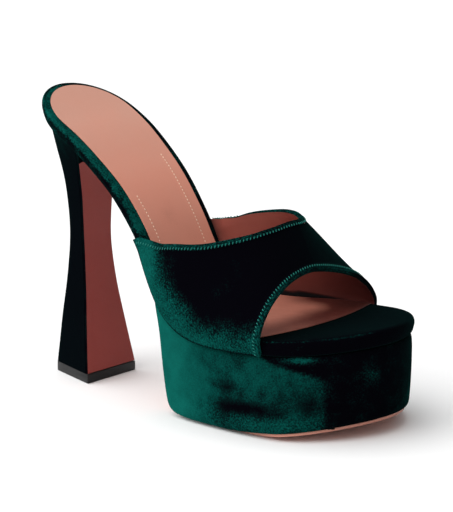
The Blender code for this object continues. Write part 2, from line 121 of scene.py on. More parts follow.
@dataclass(frozen=True)
class Patches:
    """Soft uneven patches of a size, up to a depth either way."""

    size: float
    seed: float
    depth: float

    def at(self, places: np.ndarray) -> np.ndarray:
        """Depth at each point."""
        return self.depth * mottle(places, self.size, self.seed)


@dataclass(frozen=True)
class Brush:
    """A place where the pile was stroked or crushed: a soft ellipsoid in the shoe's coordinates."""

    place: Triple
    reach: Triple
    change: float
    falloff: float = 1.6

    def at(self, places: np.ndarray) -> np.ndarray:
        """Change of the nap at each point, full in the middle and nearly gone past the reach.

        Args:
            places: Points in millimetres.

        Returns:
            One number a point.
        """
        apart = (places - np.array(self.place)) / np.array(self.reach)
        return self.change * np.exp(-self.falloff * (apart ** 2).sum(axis=1))


def brushed(places: np.ndarray, strokes: Sequence[Brush]) -> np.ndarray:
    """Sum of all strokes at each point."""
    return sum((stroke.at(places) for stroke in strokes), np.zeros(len(places)))


def only(piece: bpy.types.Object) -> None:
    """Make one piece the only selected and the active one.

    Args:
        piece: The piece to work on.
    """
    bpy.ops.object.select_all(action="DESELECT")
    piece.select_set(True)
    bpy.context.view_layer.objects.active = piece


def new_piece(name: str, mesh: bpy.types.Mesh) -> bpy.types.Object:
    """Link a new object with a mesh at the origin.

    Args:
        name: Name of the piece.
        mesh: Its mesh, in place.

    Returns:
        The new object.
    """
    mesh.name = name
    piece = bpy.data.objects.new(name, mesh)
    bpy.context.scene.collection.objects.link(piece)
    return piece


def copy_of_node(node: str, name: str) -> bpy.types.Object:
    """Copy a CAD solid, merge its loose triangles and turn them back into a grid of quads.

    Args:
        node: Name of the CAD node.
        name: Name of the new piece.

    Returns:
        The copy, ready to be refined.
    """
    merge_distance, widest_fold, grid_pull = 0.01 * MM, math.radians(89.0), 2.0
    piece = new_piece(name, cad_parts[node].data.copy())
    piece.data.materials.clear()
    only(piece)
    bpy.ops.mesh.customdata_custom_splitnormals_clear()
    bpy.ops.object.mode_set(mode="EDIT")
    bpy.ops.mesh.select_all(action="SELECT")
    bpy.ops.mesh.remove_doubles(threshold=merge_distance)
    bpy.ops.mesh.tris_convert_to_quads(
        face_threshold=widest_fold, shape_threshold=math.pi, topology_influence=grid_pull
    )
    bpy.ops.object.mode_set(mode="OBJECT")
    return piece


def point_values(mesh: bpy.types.Mesh, name: str) -> np.ndarray:
    """Read a triple from every mesh point.

    Args:
        mesh: The mesh.
        name: What is read, such as co or normal.

    Returns:
        One row a point.
    """
    flat = np.zeros(len(mesh.vertices) * 3)
    mesh.vertices.foreach_get(name, flat)
    return flat.reshape(-1, 3)


def coordinates(piece: bpy.types.Object) -> np.ndarray:
    """Places of a piece's mesh points, in millimetres."""
    return point_values(piece.data, "co") / MM


def point_normals(piece: bpy.types.Object) -> np.ndarray:
    """Directions of a piece's surface at its mesh points."""
    return point_values(piece.data, "normal")


def place_points(piece: bpy.types.Object, places: np.ndarray) -> None:
    """Put a piece's mesh points at places in millimetres."""
    piece.data.vertices.foreach_set("co", (places * MM).ravel())
    piece.data.update()


def shift(piece: bpy.types.Object, amounts: np.ndarray, way: Triple) -> None:
    """Move mesh points, each by its own share of one way in millimetres."""
    place_points(piece, coordinates(piece) + amounts[:, None] * np.array(way))


def wide_faces(work: bmesh.types.BMesh) -> set[bmesh.types.BMFace]:
    """Find the broad flat ends of a solid: faces right across it, and those level with them.

    Args:
        work: The coarse mesh.

    Returns:
        The faces of all broad ends.
    """
    span, level = 18.0 * MM, math.radians(7.0)
    wide = {face for face in work.faces if max(edge.calc_length() for edge in face.edges) > span}
    front = list(wide)
    while front:
        face = front.pop()
        for other in (f for edge in face.edges for f in edge.link_faces):
            if other not in wide and other.normal.angle(face.normal) < level:
                wide.add(other)
                front.append(other)
    return wide


def crease_edges(piece: bpy.types.Object, angle: float, strength: float) -> None:
    """Mark the edges that stay firm when a piece is rounded: sharp ones, and those of broad ends.

    Args:
        piece: The coarse piece.
        angle: Degrees between two faces past which their edge is firm.
        strength: How firm a sharp edge is, from 0 to 1.
    """
    work = bmesh.new()
    work.from_mesh(piece.data)
    firm = work.edges.layers.float.new("crease_edge")
    wide = wide_faces(work)
    for edge in work.edges:
        if len(edge.link_faces) != 2:
            continue
        if sum(face in wide for face in edge.link_faces) == 1:
            edge[firm] = 1.0
        elif math.degrees(edge.calc_face_angle()) > angle:
            edge[firm] = strength
    work.to_mesh(piece.data)
    work.free()


def refine(piece: bpy.types.Object, levels: int, fullness: float) -> None:
    """Round a coarse piece into a smooth form without letting it shrink.

    Args:
        piece: The coarse piece, with its firm edges marked.
        levels: Subdivision levels.
        fullness: Most that a corner may be moved out to make up for the rounding, in millimetres.
    """
    rounds, share, tiny, smooth_angle = 3, 0.8, 1e-9, math.radians(50.0)
    modifier = piece.modifiers.new("rounding", "SUBSURF")
    modifier.levels = levels
    modifier.render_levels = levels
    target = coordinates(piece)
    moved = np.zeros_like(target)
    for _ in range(rounds):
        rounded = piece.evaluated_get(bpy.context.evaluated_depsgraph_get()).data
        moved += share * (target - point_values(rounded, "co")[: len(target)] / MM)
        length = np.linalg.norm(moved, axis=1, keepdims=True)
        moved *= np.minimum(1.0, fullness / np.maximum(length, tiny))
        place_points(piece, target + moved)
    only(piece)
    bpy.ops.object.modifier_apply(modifier=modifier.name)
    bpy.ops.object.shade_smooth_by_angle(angle=smooth_angle)


def store(piece: bpy.types.Object, name: str, values: np.ndarray | float) -> None:
    """Keep a number for each mesh point, for the finish to read.

    Args:
        piece: The finished mesh.
        name: Name of the attribute.
        values: One number a point, or one for all.
    """
    layer = piece.data.attributes.new(name, "FLOAT", "POINT")
    spread = np.broadcast_to(values, len(piece.data.vertices))
    layer.data.foreach_set("value", spread.astype(np.float32))


def dress(
    piece: bpy.types.Object,
    finish: bpy.types.Material,
    other: bpy.types.Material | None = None,
    takes_other: Callable[[bpy.types.MeshPolygon], bool] | None = None,
) -> None:
    """Give a piece its finish, and another one to some of its faces.

    Args:
        piece: The finished mesh.
        finish: Finish of the piece.
        other: Finish of the faces that the test picks.
        takes_other: The test.
    """
    piece.data.materials.append(finish)
    if other is None or takes_other is None:
        return
    piece.data.materials.append(other)
    for polygon in piece.data.polygons:
        polygon.material_index = 1 if takes_other(polygon) else 0


def length_of(line: Line) -> float:
    """Length of a line of points in millimetres."""
    return sum((b[0] - a[0]).length for a, b in zip(line, line[1:]))


def distances(places: np.ndarray, line: Line) -> np.ndarray:
    """How far points lie from a line.

    Args:
        places: Points in millimetres.
        line: Points close together, with normals that aren't used.

    Returns:
        One distance a point, in millimetres.
    """
    tree = KDTree(len(line))
    for number, (spot, _) in enumerate(line):
        tree.insert(spot, number)
    tree.balance()
    return np.array([tree.find(Vector(place))[2] for place in places])


def smoothed(line: Line, step: float) -> Line:
    """Draw a smooth curve through a line of points.

    Args:
        line: Points in millimetres with their normals.
        step: Distance between the new points.

    Returns:
        Points close together, with normals between the old ones.
    """
    result = []
    last = len(line) - 1
    for i in range(last):
        start, finish = line[i], line[i + 1]
        before, after = line[max(i - 1, 0)], line[min(i + 2, last)]
        count = max(1, int((finish[0] - start[0]).length / step))
        lean, turn = (finish[0] - before[0]) * 0.5, (after[0] - start[0]) * 0.5
        for k in range(count):
            t = k / count
            place = start[0] * (2 * t ** 3 - 3 * t ** 2 + 1) + lean * (t ** 3 - 2 * t ** 2 + t)
            place = place + finish[0] * (3 * t ** 2 - 2 * t ** 3) + turn * (t ** 3 - t ** 2)
            result.append((place, start[1].lerp(finish[1], t)))
    return result + [line[-1]]


class Skin:
    """Surface of a piece that other pieces are laid on."""

    def __init__(self, piece: bpy.types.Object) -> None:
        """Read the finished piece's mesh."""
        self.tree = BVHTree.FromObject(piece, bpy.context.evaluated_depsgraph_get())

    def cast(self, start: Vector, direction: Vector) -> tuple[Vector, Vector] | None:
        """First point of the surface along a ray.

        Args:
            start: Start in millimetres.
            direction: Direction of the ray.

        Returns:
            The point in millimetres and its normal, or None past the edge.
        """
        place, normal, _, _ = self.tree.ray_cast(start * MM, direction)
        return None if place is None else (place / MM, normal)

    def nearest(self, place: Vector) -> tuple[Vector, Vector]:
        """Point of the surface nearest to a place in millimetres, and its normal."""
        near, normal, _, _ = self.tree.find_nearest(place * MM)
        return near / MM, normal

    def edge(self, inside: Vector, outside: Vector, direction: Vector, steps: int = 14) -> Vector:
        """Last point between two ray starts whose ray still meets the surface.

        Args:
            inside: A start whose ray meets it, in millimetres.
            outside: A start whose ray misses it.
            direction: Direction of both rays.
            steps: Number of halvings.

        Returns:
            The ray's start at the edge.
        """
        for _ in range(steps):
            middle = (inside + outside) / 2.0
            if self.cast(middle, direction) is None:
                outside = middle
            else:
                inside = middle
        return inside


class Graph:
    """Node tree of one finish, around a single Principled shader."""

    def __init__(self, name: str) -> None:
        """Start an empty material.

        Args:
            name: Name of the finish.
        """
        self.material = bpy.data.materials.new(name)
        self.material.use_nodes = True
        self.tree = self.material.node_tree
        self.shader = self.tree.nodes["Principled BSDF"]
        self.place = self.add("ShaderNodeTexCoord").outputs["Object"]

    def add(self, kind: str, **settings: object) -> bpy.types.Node:
        """Add a node.

        Args:
            kind: Blender's name of the node's type.
            settings: Properties of the node itself.

        Returns:
            The new node.
        """
        node = self.tree.nodes.new(kind)
        for name, value in settings.items():
            setattr(node, name, value)
        return node

    def link(self, source: Socket, target: Socket) -> None:
        """Join two sockets."""
        self.tree.links.new(source, target)

    def drive(self, name: str, source: Socket) -> None:
        """Let a socket feed one of the shader's inputs."""
        self.link(source, self.shader.inputs[name])

    def set(self, **values: float | Triple) -> None:
        """Set the shader's sockets that are the same all over.

        Args:
            values: Value of each socket, with _ for a space in its name.
        """
        for name, value in values.items():
            socket = self.shader.inputs[name.replace("_", " ")]
            socket.default_value = (*value, 1.0) if isinstance(value, tuple) else value

    def noise(self, size: float, detail: float = 2.0) -> Socket:
        """Noise on the piece's own coordinates.

        Args:
            size: Size of a patch in millimetres.
            detail: Octaves of finer noise.

        Returns:
            Socket with a number from 0 to 1.
        """
        mapping = self.add("ShaderNodeMapping")
        mapping.inputs["Scale"].default_value = [1.0 / (size * MM)] * 3
        self.link(self.place, mapping.inputs["Vector"])
        texture = self.add("ShaderNodeTexNoise")
        texture.inputs["Scale"].default_value = 1.0
        texture.inputs["Detail"].default_value = detail
        self.link(mapping.outputs["Vector"], texture.inputs["Vector"])
        return texture.outputs["Fac"]

    def cells(self, size: float) -> Socket:
        """Distance from the creases between small cells, as in leather grain.

        Args:
            size: Size of a cell in millimetres.

        Returns:
            Socket with 0 in a crease and more on a pebble.
        """
        texture = self.add("ShaderNodeTexVoronoi", feature="DISTANCE_TO_EDGE")
        texture.inputs["Scale"].default_value = 1.0 / (size * MM)
        self.link(self.place, texture.inputs["Vector"])
        return texture.outputs["Distance"]

    def value(self, attribute: str) -> Socket:
        """Number kept at the mesh points under a name."""
        return self.add("ShaderNodeAttribute", attribute_name=attribute).outputs["Fac"]

    def math(self, operation: str, first: Socket | float, second: Socket | float) -> Socket:
        """Join two numbers.

        Args:
            operation: Name of Blender's math operation.
            first: A socket or a number.
            second: A socket or a number.

        Returns:
            Socket with the result.
        """
        node = self.add("ShaderNodeMath", operation=operation)
        for socket, source in zip(node.inputs, (first, second)):
            if isinstance(source, float):
                socket.default_value = source
            else:
                self.link(source, socket)
        return node.outputs[0]

    def plus(self, first: Socket | float, second: Socket | float) -> Socket:
        """Sum of two numbers."""
        return self.math("ADD", first, second)

    def times(self, first: Socket | float, second: Socket | float) -> Socket:
        """Product of two numbers."""
        return self.math("MULTIPLY", first, second)

    def spread(self, source: Socket, amount: float) -> Socket:
        """Noise from 0 to 1 turned into a number from -amount to amount."""
        return self.times(self.math("SUBTRACT", source, 0.5), 2.0 * amount)

    def colours(self, source: Socket, stops: Sequence[tuple[float, Triple]]) -> Socket:
        """Read a colour from a row of stops.

        Args:
            source: Number from 0 to 1.
            stops: Place and colour of each stop.

        Returns:
            Socket with the colour.
        """
        node = self.add("ShaderNodeValToRGB")
        row = node.color_ramp.elements
        while len(row) < len(stops):
            row.new(1.0)
        for element, (place, colour) in zip(row, stops):
            element.position = place
            element.color = (*colour, 1.0)
        self.link(source, node.inputs["Fac"])
        return node.outputs["Color"]

    def bump(self, height: Socket, depth: float, strength: float) -> None:
        """Give the shader a fine relief.

        Args:
            height: Number from 0 to 1.
            depth: Depth of the relief in millimetres.
            strength: Share of it that shows.
        """
        node = self.add("ShaderNodeBump")
        node.inputs["Distance"].default_value = depth * MM
        node.inputs["Strength"].default_value = strength
        self.link(height, node.inputs["Height"])
        self.drive("Normal", node.outputs["Normal"])


@dataclass(frozen=True)
class VelvetFinish:
    """Silk velvet from near black to teal: pile patches, with painted highlight and painted shade on
    the pile.
    """

    name: str = "velvet"
    # Stops from near black to bright teal; the bright ones carry painted highlight, the dark ones
    # painted shade.
    shade: Triple = (0.0013, 0.0010, 0.0022)
    body: Triple = (0.0012, 0.011, 0.0105)
    gleam: Triple = (0.0014, 0.040, 0.034)
    crest: Triple = (0.0045, 0.120, 0.097)
    stops: tuple[float, float, float, float] = (0.10, 0.30, 0.46, 1.0)
    roughness: float = 0.9
    sheen: Triple = (0.05, 0.42, 0.35)
    sheen_weight: float = 0.055
    sheen_roughness: float = 0.38
    pile: float = 0.4
    pile_change: float = 0.06
    speckle: float = 0.8
    speckle_change: float = 4.4
    tuft: float = 5.0
    tuft_change: float = 0.12
    tuft_relief: float = 0.8
    relief_depth: float = 0.25
    relief_strength: float = 0.5

    def material(self) -> bpy.types.Material:
        """Make the finish.

        It reads nap_and_light, from 0 for dark to 1 for bright: pile patches with painted highlight
        and painted shade. It reads flecks too, how rough the change is.

        Returns:
            The velvet.
        """
        graph = Graph(self.name)
        pile = graph.noise(self.pile, 1.0)
        speckle = graph.noise(self.speckle, 3.0)
        tuft = graph.noise(self.tuft, 3.0)
        lean = graph.value("nap_and_light")
        rest = graph.math("SUBTRACT", 1.0, lean)
        turning = graph.times(graph.times(rest, rest), graph.math("MAXIMUM", lean, 0.0))
        turning = graph.times(turning, graph.value("flecks"))
        nap_and_light = graph.plus(lean, graph.times(graph.spread(speckle, self.speckle_change), turning))
        nap_and_light = graph.plus(nap_and_light, graph.spread(tuft, self.tuft_change))
        nap_and_light = graph.plus(nap_and_light, graph.spread(pile, self.pile_change))
        tones = (self.shade, self.body, self.gleam, self.crest)
        graph.drive("Base Color", graph.colours(nap_and_light, tuple(zip(self.stops, tones))))
        graph.set(Roughness=self.roughness, Specular_IOR_Level=0.0)
        graph.set(Sheen_Weight=self.sheen_weight, Sheen_Tint=self.sheen)
        graph.set(Sheen_Roughness=self.sheen_roughness)
        relief = graph.plus(pile, graph.times(tuft, self.tuft_relief))
        graph.bump(relief, self.relief_depth, self.relief_strength)
        return graph.material


@dataclass(frozen=True)
class LeatherFinish:
    """Smooth leather with a fine pebbled grain and soft changes of tone."""

    name: str
    light: Triple
    warm: Triple
    deep: Triple
    # colour of a painted shadow in a gap between parts
    gap_shadow: Triple = (0.004, 0.002, 0.002)
    roughness: float = 0.52
    polish: float = 3.0
    polish_change: float = 0.08
    specular: float = 0.35
    cloud: float = 22.0
    cloud_change: float = 0.14
    grain: float = 0.9
    grain_depth: float = 0.05
    grain_strength: float = 0.6
    pebble_rise: float = 3.0
    pore_share: float = 0.4
    pore_change: float = 0.08
    pore_relief: float = 0.5

    def material(self) -> bpy.types.Material:
        """Make the finish.

        It reads tone: 0 for light, 0.5 for warm, 1 for deep and 2 for a painted shadow in a gap. Warm
        and deep also carry painted shade on the sock, the lining and the breast.

        Returns:
            The leather.
        """
        graph = Graph(self.name)
        cloud = graph.noise(self.cloud, 3.0)
        pores = graph.noise(self.grain * self.pore_share)
        tone = graph.plus(graph.value("tone"), graph.spread(cloud, self.cloud_change))
        tone = graph.plus(tone, graph.spread(pores, self.pore_change))
        stops = ((0.0, self.light), (0.25, self.warm), (0.5, self.deep), (1.0, self.gap_shadow))
        graph.drive("Base Color", graph.colours(graph.times(tone, 0.5), stops))
        polish = graph.spread(graph.noise(self.polish), self.polish_change)
        graph.drive("Roughness", graph.plus(polish, self.roughness))
        graph.set(Specular_IOR_Level=self.specular)
        pebble = graph.math("MINIMUM", graph.times(graph.cells(self.grain), self.pebble_rise), 1.0)
        relief = graph.plus(pebble, graph.times(pores, self.pore_relief))
        graph.bump(relief, self.grain_depth, self.grain_strength)
        return graph.material


@dataclass(frozen=True)
class ThreadFinish:
    """Sewing thread with a slight lustre."""

    name: str
    colour: Triple
    dark: Triple
    roughness: float = 0.5
    specular: float = 0.15
    strand: float = 0.35
    strand_depth: float = 0.05
    strand_strength: float = 0.4

    def material(self) -> bpy.types.Material:
        """Make the finish.

        Returns:
            The thread.
        """
        graph = Graph(self.name)
        strand = graph.noise(self.strand)
        graph.drive("Base Color", graph.colours(strand, ((0.3, self.dark), (0.7, self.colour))))
        graph.set(Roughness=self.roughness, Specular_IOR_Level=self.specular)
        graph.bump(strand, self.strand_depth, self.strand_strength)
        return graph.material


@dataclass(frozen=True)
class RubberFinish:
    """Hard black rubber with a faint moulded grain."""

    name: str
    colour: Triple = (0.006, 0.006, 0.0065)
    worn: Triple = (0.011, 0.011, 0.0115)
    roughness: float = 0.42
    roughness_change: float = 0.1
    specular: float = 0.22
    cloud: float = 6.0
    grain: float = 0.4
    grain_depth: float = 0.03
    grain_strength: float = 0.5

    def material(self) -> bpy.types.Material:
        """Make the finish.

        Returns:
            The rubber.
        """
        graph = Graph(self.name)
        cloud = graph.noise(self.cloud, 4.0)
        graph.drive("Base Color", graph.colours(cloud, ((0.35, self.colour), (0.75, self.worn))))
        worn = graph.spread(cloud, self.roughness_change)
        graph.drive("Roughness", graph.plus(worn, self.roughness))
        graph.set(Specular_IOR_Level=self.specular)
        graph.bump(graph.noise(self.grain), self.grain_depth, self.grain_strength)
        return graph.material


VELVET = VelvetFinish().material()
# The sock's warm and deep stops are its leather darkened as painted shade, for the waist and under
# the vamp.
SOCK = LeatherFinish(
    "sock_leather", light=(0.60, 0.30, 0.222), warm=(0.68, 0.268, 0.186), deep=(0.11, 0.023, 0.016)
).material()
# The lining's colours are the sock's leather made darker and redder as painted shade inside the vamp.
LINING = LeatherFinish(
    "lining_leather",
    light=(0.46, 0.155, 0.115),
    warm=(0.27, 0.064, 0.05),
    deep=(0.085, 0.014, 0.011),
    grain=0.7,
).material()
SOLE = LeatherFinish(
    "sole_leather",
    light=(0.58, 0.26, 0.19),
    warm=(0.49, 0.20, 0.145),
    deep=(0.40, 0.15, 0.11),
    roughness=0.45,
).material()
BREAST = LeatherFinish(
    "breast_leather",
    light=(0.29, 0.054, 0.045),
    warm=(0.255, 0.045, 0.037),
    deep=(0.22, 0.036, 0.030),
    specular=0.2,
).material()
CREAM_THREAD = ThreadFinish(
    "cream_thread", colour=(0.90, 0.64, 0.48), dark=(0.76, 0.50, 0.36)
).material()
TEAL_THREAD = ThreadFinish(
    "teal_thread", colour=(0.011, 0.21, 0.17), dark=(0.004, 0.10, 0.082)
).material()
RUBBER = RubberFinish("toplift_rubber").material()


@dataclass(frozen=True)
class Stitch:
    """One visible stitch of a row."""

    length: float
    width: float
    rise: float
    pitch: float
    slant: float = 0.0
    end_dip: float = 0.6

    def points(self) -> tuple[np.ndarray, list[list[int]]]:
        """Model one stitch at the origin: a flattened bead along X whose ends dip into the seam.

        Returns:
            Its points in millimetres and its faces.
        """
        bpy.ops.object.select_all(action="DESELECT")
        bpy.ops.mesh.primitive_uv_sphere_add(segments=8, ring_count=5, radius=0.5)
        bead = bpy.context.active_object
        bpy.ops.object.mode_set(mode="EDIT")
        bpy.ops.mesh.select_all(action="SELECT")
        bpy.ops.transform.rotate(
            value=math.pi / 2.0, orient_axis="Y", center_override=(0.0, 0.0, 0.0)
        )
        bpy.ops.transform.resize(value=(self.length, self.width, self.rise * 2.0))
        bpy.ops.object.mode_set(mode="OBJECT")
        shape = point_values(bead.data, "co")
        shape[:, Z] -= self.rise * self.end_dip * (2.0 * shape[:, X] / self.length) ** 2
        faces = [list(polygon.vertices) for polygon in bead.data.polygons]
        bpy.data.objects.remove(bead, do_unlink=True)
        return shape, faces

    def row(self, name: str, seam: Line) -> bpy.types.Object:
        """Sew a row of stitches along a seam.

        Args:
            name: Name of the row.
            seam: Points of the seam in millimetres, with the surface's normals.

        Returns:
            The row as one joined piece.
        """
        look = 0.5
        shape, faces = self.points()
        line = np.array([tuple(place) for place, _ in seam])
        facing = np.array([tuple(normal) for _, normal in seam])
        runs = np.concatenate(([0.0], np.cumsum(np.linalg.norm(np.diff(line, axis=0), axis=1))))
        count = int(runs[-1] / self.pitch)

        def along_seam(spot: float, rows: np.ndarray) -> Vector:
            """Place or normal at a distance along the seam."""
            return Vector([np.interp(spot, runs, column) for column in rows.T])

        vertices: list[np.ndarray] = []
        polygons: list[list[int]] = []
        for spot in (np.arange(count) + 0.5) * runs[-1] / count:
            up = along_seam(spot, facing).normalized()
            run = along_seam(spot + look, line) - along_seam(spot - look, line)
            run = (run - up * run.dot(up)).normalized()
            run = Matrix.Rotation(math.radians(self.slant), 3, up) @ run
            turn = np.array([tuple(run), tuple(up.cross(run)), tuple(up)])
            first = len(vertices) * len(shape)
            vertices.append(shape @ turn + np.array(along_seam(spot, line)))
            polygons += [[first + i for i in face] for face in faces]
        mesh = bpy.data.meshes.new(name)
        mesh.from_pydata(np.concatenate(vertices) * MM, [], polygons)
        piece = new_piece(name, mesh)
        only(piece)
        bpy.ops.object.shade_smooth()
        return piece


@dataclass(frozen=True)
class WaistPad:
    """Padding at the outer back corner of the seam between vamp and platform."""

    middle_y: float = 8.0
    middle_z: float = 58.0
    reach_y: float = 15.0
    reach_z: float = 14.0
    outer_side: Fade = Fade(-24.0, -36.0)
    facing_out: Fade = Fade(0.1, -0.3)
    depth: float = 2.2

    def fill(self, piece: bpy.types.Object, inwards: float = 0.0) -> None:
        """Move a piece's surface out at the corner.

        Args:
            piece: The vamp or the platform.
            inwards: How far the surface that faces the footbed moves to it, in millimetres.
        """
        x, y, z = coordinates(piece).T
        back, up = (y - self.middle_y) / self.reach_y, (z - self.middle_z) / self.reach_z
        share = np.exp(-(back ** 2 + up ** 2)) * self.outer_side.at(x)
        outer = self.facing_out.at(point_normals(piece)[:, X])
        shift(piece, share * (inwards * (1.0 - outer) - self.depth * outer), (1.0, 0.0, 0.0))


@dataclass
class Piece:
    """A visible piece made from one CAD solid."""

    node: str
    name: str
    slot: Slot
    levels: int = 2
    firm_angle: float = 50.0
    firmness: float = 1.0
    fullness: float = 0.25

    def smooth(self, piece: bpy.types.Object) -> None:
        """Round a coarse copy of the solid."""
        crease_edges(piece, self.firm_angle, self.firmness)
        refine(piece, self.levels, self.fullness)

    def shape(self) -> bpy.types.Object:
        """Refine a copy of the solid.

        Returns:
            The smooth piece.
        """
        piece = copy_of_node(self.node, self.name)
        self.smooth(piece)
        return piece

    def hand_over(self, piece: bpy.types.Object) -> bpy.types.Object:
        """Let the piece stand for its solid: it rides with the shoe and the solid is hidden.

        Args:
            piece: The finished piece.

        Returns:
            The same piece.
        """
        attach(piece, Body.SHOE.value)
        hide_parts(self.node)
        return piece

    def sewn(self, piece: bpy.types.Object, thread: bpy.types.Material) -> bpy.types.Object:
        """Dress a row of stitches and let it ride with the shoe.

        Args:
            piece: The row.
            thread: Its finish.

        Returns:
            The same row.
        """
        dress(piece, thread)
        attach(piece, Body.SHOE.value)
        return piece


@dataclass
class Vamp(Piece):
    """Arched velvet strap with a leather lining and stitched hems."""

    node: str = "upper_vamp"
    name: str = "vamp_velvet"
    slot: Slot = Slot.VELVET
    firm_angle: float = 60.0
    firmness: float = 0.55
    pad: WaistPad = WaistPad()
    waist_tuck: float = 0.3
    lower: Line = field(default_factory=list)
    edge_angle: float = 60.0
    edge_reach: float = 40.0
    edge_step: float = 0.8
    hem_stitch: Stitch = Stitch(length=1.5, width=0.5, rise=0.3, pitch=1.7, slant=64.0)
    stitch_inset: float = 2.3
    stitch_lift: float = 0.8
    core_x: float = -2.0
    core_z: float = 52.0
    wall_fold: float = -0.3
    rear_slope: float = 0.3
    rear_x: float = 20.0
    far_fold: float = 0.4
    far_x: float = 6.0
    far_z: float = 72.0
    toe_slope: float = -0.4
    toe_fold: float = 2.2
    # Painted shade on the lining, and a painted shadow in its gap by the sock:
    lining_tone: float = 0.3
    lining_toe: Fade = Fade(-16.0, -48.0, 0.32)
    lining_inner: Fade = Fade(6.0, 42.0, 0.36)
    gap_shadow_tone: float = 1.6
    gap_side: Fade = Fade(6.0, 14.0)
    gap_front: Fade = Fade(-40.0, -30.0)
    gap_height: float = 47.2
    gap_rise: Fade = Fade(-36.0, -20.0, 1.2)
    gap_slope: float = 0.08
    gap_slope_from: float = -30.0
    gap_soft: tuple[float, float] = (0.5, -0.3)
    # Painted highlight on the outer and inner sides and the hems, painted shadow along the lower
    # seam:
    outer_side: Fade = Fade(-18.0, -34.0)
    outer_gleam: float = 0.49
    inner_gleam: Fade = Fade(10.0, 36.0, 0.10)
    turn_floor: float = 51.0
    turn_rise: float = 34.0
    turn_back: float = 9.0
    turn_run: float = 44.0
    turn_most: float = 1.3
    turn_bend: float = 2.2
    turn_soft: float = 12.0
    patches: Patches = Patches(13.0, 3.7, 0.12)
    patch_sides: Fade = Fade(24.0, 38.0)
    hem_gleam: float = 0.34
    hem_outer_dim: Fade = Fade(-38.0, -16.0, 0.12)
    hem_top_lift: Fade = Fade(-6.0, 12.0, 0.06)
    hem_inner_dim: Fade = Fade(20.0, 30.0, 0.2)
    hem_edge: Fade = Fade(3.3, 2.1)
    seam_shade: Fade = Fade(1.3, 0.3, 0.4)
    strokes: tuple[Brush, ...] = (
        Brush((-41.0, 14.0, 70.0), (14.0, 12.0, 18.0), 0.14),
        Brush((-49.0, -54.0, 47.0), (12.0, 10.0, 5.0), 0.10),
        Brush((-38.0, -24.0, 84.0), (16.0, 14.0, 9.0), -0.1),
        Brush((38.0, -20.0, 52.0), (18.0, 26.0, 12.0), 0.22),
        Brush((30.0, 6.0, 66.0), (16.0, 14.0, 12.0), 0.18),
    )

    def edges(self, piece: bpy.types.Object) -> tuple[Line, Line, Line]:
        """Find the outer edges of the coarse vamp.

        Args:
            piece: The coarse copy of the solid.

        Returns:
            The collar and the toe opening, each from the outer to the inner base, and both lower
            edges in one list.
        """
        sharp, reach = math.radians(self.edge_angle), self.edge_reach * MM
        work = bmesh.new()
        work.from_mesh(piece.data)
        edges = {e for e in work.edges if len(e.link_faces) == 2 and e.calc_face_angle() > sharp}
        ties = {v: [e for e in v.link_edges if e in edges] for v in work.verts}
        chains: list[Line] = []
        lower: Line = []
        for corner in (v for v in work.verts if len(ties[v]) > 2):
            for edge in ties[corner]:
                walk = [corner, edge.other_vert(corner)]
                while len(ties[walk[-1]]) == 2:
                    ends = (e.other_vert(walk[-1]) for e in ties[walk[-1]])
                    walk.append(next(end for end in ends if end is not walk[-2]))
                found = [(v.co / MM, self.outwards(v)) for v in walk]
                if walk[-1].co.x - walk[0].co.x > reach:
                    chains.append(found)
                elif walk[-1].co.y - walk[0].co.y > reach:
                    lower += smoothed(found, self.edge_step)
        work.free()
        chains.sort(key=lambda chain: sum(spot[0].y for spot in chain) / len(chain))
        toe, collar = (
            smoothed(max(pair, key=length_of), self.edge_step) for pair in (chains[:2], chains[2:])
        )
        return collar, toe, lower

    def outwards(self, corner: bmesh.types.BMVert) -> Vector:
        """Direction of the outer surface at a point on the vamp's edge.

        Args:
            corner: The point.

        Returns:
            Normal of the face that looks most away from the vamp's middle.
        """
        core = Vector((self.core_x * MM, corner.co.y, self.core_z * MM))
        away = (corner.co - core).normalized()
        return max((face.normal for face in corner.link_faces), key=away.dot).copy()

    def hem_line(self, skin: Skin, rim: Line, across: float) -> Line:
        """Move a rim across the surface, away from its edge.

        Args:
            skin: The refined vamp's surface.
            rim: The edge's points and normals, from the outer to the inner base.
            across: Distance in millimetres, towards the toe, or towards the heel when negative.

        Returns:
            Points and normals on the surface.
        """
        line = []
        for i, (place, normal) in enumerate(rim):
            ahead, behind = rim[min(i + 1, len(rim) - 1)][0], rim[max(i - 1, 0)][0]
            side = (ahead - behind).normalized().cross(normal).normalized()
            line.append(skin.nearest(place + side * across + normal * self.stitch_lift))
        return line

    def nap_and_light(self, piece: bpy.types.Object, rims: Sequence[Line]) -> np.ndarray:
        """Pile of the vamp with painted highlight low on the outer side and on the hems, painted
        shade over the arch and a painted shadow along the lower seam.

        Args:
            piece: The refined vamp.
            rims: The edges of the collar and the toe opening.

        Returns:
            Nap at each mesh point.
        """
        places = coordinates(piece)
        x, y, z = places.T
        share = np.clip(1.0 - (self.turn_back - y) / self.turn_run, 0.0, self.turn_most)
        turn = self.turn_floor + self.turn_rise * share ** self.turn_bend
        low = ramp(z, turn + self.turn_soft, turn - self.turn_soft)
        # painted highlight low on the lit outer side, fainter on the inner side
        nap_and_light = self.outer_gleam * self.outer_side.at(x) * low + self.inner_gleam.at(x)
        nap_and_light += self.patches.at(places) * self.patch_sides.at(np.abs(x))
        nap_and_light += brushed(places, self.strokes)
        # painted highlight on the hems
        bright = self.hem_gleam - self.hem_outer_dim.at(x)
        bright += self.hem_top_lift.at(x) - self.hem_inner_dim.at(x)
        hem = bright * self.hem_edge.at(distances(places, sum(rims, [])))
        # less a painted shadow along the lower seam
        return np.maximum(nap_and_light, hem) - self.seam_shade.at(distances(places, self.lower))

    def tone(self, piece: bpy.types.Object) -> np.ndarray:
        """Tone of the lining, painted shade: deeper at the toe and the inner side, and a painted
        shadow in the gap by the sock.

        Args:
            piece: The refined vamp.

        Returns:
            Tone at each mesh point.
        """
        x, y, z = coordinates(piece).T
